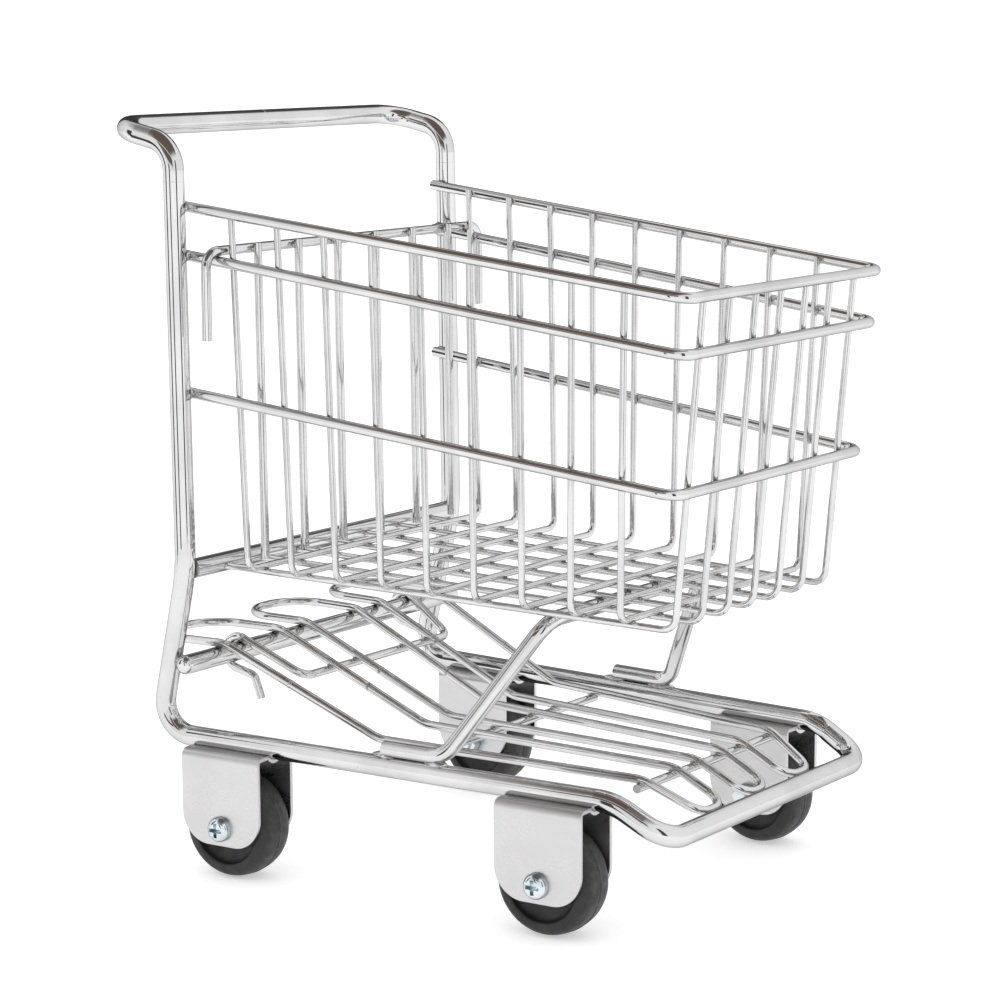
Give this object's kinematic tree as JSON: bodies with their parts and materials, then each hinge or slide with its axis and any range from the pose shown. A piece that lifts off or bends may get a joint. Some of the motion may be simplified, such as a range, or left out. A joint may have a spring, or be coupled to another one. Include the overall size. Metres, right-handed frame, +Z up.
{
  "type": "shopping cart",
  "caption": "Small chromed wire shopping cart: tapered basket with a hinged rear gate, a lower wire tray that lifts and fixed casters, for table-top serving and display.",
  "frame": {"origin": "on the ground, under the middle of the cart's bounding box", "axes": "+X towards the front of the cart, +Y to its left, +Z up"},
  "size_m": [0.1982, 0.1526, 0.228],
  "materials": {
    "chrome_rod": "polished chrome plate",
    "chrome_wire": "polished chrome plate",
    "plated_sheet": "satin bright plate",
    "zinc_screw": "bright zinc",
    "black_rubber": "satin moulded rubber"
  },
  "bodies": {
    "frame": {"main_frame": "chrome_rod", "upper_rear_crossbar": "chrome_rod", "lower_rear_crossbar": "chrome_rod", "basket_support": "chrome_wire", "basket_rim": "chrome_wire", "basket_ring_upper": "chrome_wire", "basket_ring_lower": "chrome_wire", "basket_rib_1": "chrome_wire", "basket_rib_2": "chrome_wire", "basket_rib_3": "chrome_wire", "basket_rib_4": "chrome_wire", "basket_rib_5": "chrome_wire", "basket_rib_6": "chrome_wire", "basket_rib_7": "chrome_wire", "basket_rib_8": "chrome_wire", "basket_rib_9": "chrome_wire", "basket_long_wire_1": "chrome_wire", "basket_long_wire_2": "chrome_wire", "basket_long_wire_3": "chrome_wire", "basket_long_wire_4": "chrome_wire", "basket_long_wire_5": "chrome_wire", "basket_long_wire_6": "chrome_wire", "basket_long_wire_7": "chrome_wire", "caster_bracket_rear_left": "plated_sheet", "axle_screw_rear_left": "zinc_screw", "axle_nut_rear_left": "zinc_screw", "caster_bracket_rear_right": "plated_sheet", "axle_screw_rear_right": "zinc_screw", "axle_nut_rear_right": "zinc_screw", "caster_bracket_front_left": "plated_sheet", "axle_screw_front_left": "zinc_screw", "axle_nut_front_left": "zinc_screw", "caster_bracket_front_right": "plated_sheet", "axle_screw_front_right": "zinc_screw", "axle_nut_front_right": "zinc_screw"},
    "gate": {"gate_bar": "chrome_wire", "gate_wire_1": "chrome_wire", "gate_wire_2": "chrome_wire", "gate_wire_3": "chrome_wire", "gate_wire_4": "chrome_wire", "gate_wire_5": "chrome_wire", "gate_wire_6": "chrome_wire"},
    "tray": {"tray_loop_left": "chrome_wire", "tray_loop_middle": "chrome_wire", "tray_loop_right": "chrome_wire", "tray_cross_wire_front": "chrome_wire", "tray_cross_wire_rear": "chrome_wire", "tray_hinge_wire": "chrome_wire"},
    "wheel_rear_left": {"wheel_rear_left": "black_rubber"},
    "wheel_rear_right": {"wheel_rear_right": "black_rubber"},
    "wheel_front_left": {"wheel_front_left": "black_rubber"},
    "wheel_front_right": {"wheel_front_right": "black_rubber"}
  },
  "joints": [
    {"name": "wheel_rear_left_spin", "type": "hinge", "parent": "frame", "child": "wheel_rear_left", "pos_m": [-0.0551, 0.06464, 0.016], "axis": [0.0567, 0.9984, 0], "continuous": true},
    {"name": "wheel_rear_right_spin", "type": "hinge", "parent": "frame", "child": "wheel_rear_right", "pos_m": [-0.0551, -0.06464, 0.016], "axis": [-0.0567, 0.9984, 0], "continuous": true},
    {"name": "wheel_front_left_spin", "type": "hinge", "parent": "frame", "child": "wheel_front_left", "pos_m": [0.0564, 0.05831, 0.016], "axis": [0.0567, 0.9984, 0], "continuous": true},
    {"name": "wheel_front_right_spin", "type": "hinge", "parent": "frame", "child": "wheel_front_right", "pos_m": [0.0564, -0.05831, 0.016], "axis": [-0.0567, 0.9984, 0], "continuous": true},
    {"name": "gate_swing", "type": "hinge", "parent": "frame", "child": "gate", "pos_m": [-0.0605, 0, 0.18874], "axis": [0, -1, 0], "range_deg": [-6, 85]},
    {"name": "tray_lift", "type": "hinge", "parent": "frame", "child": "tray", "pos_m": [-0.0727, 0, 0.06308], "axis": [0, -1, 0], "range_deg": [0, 15]}
  ]
}
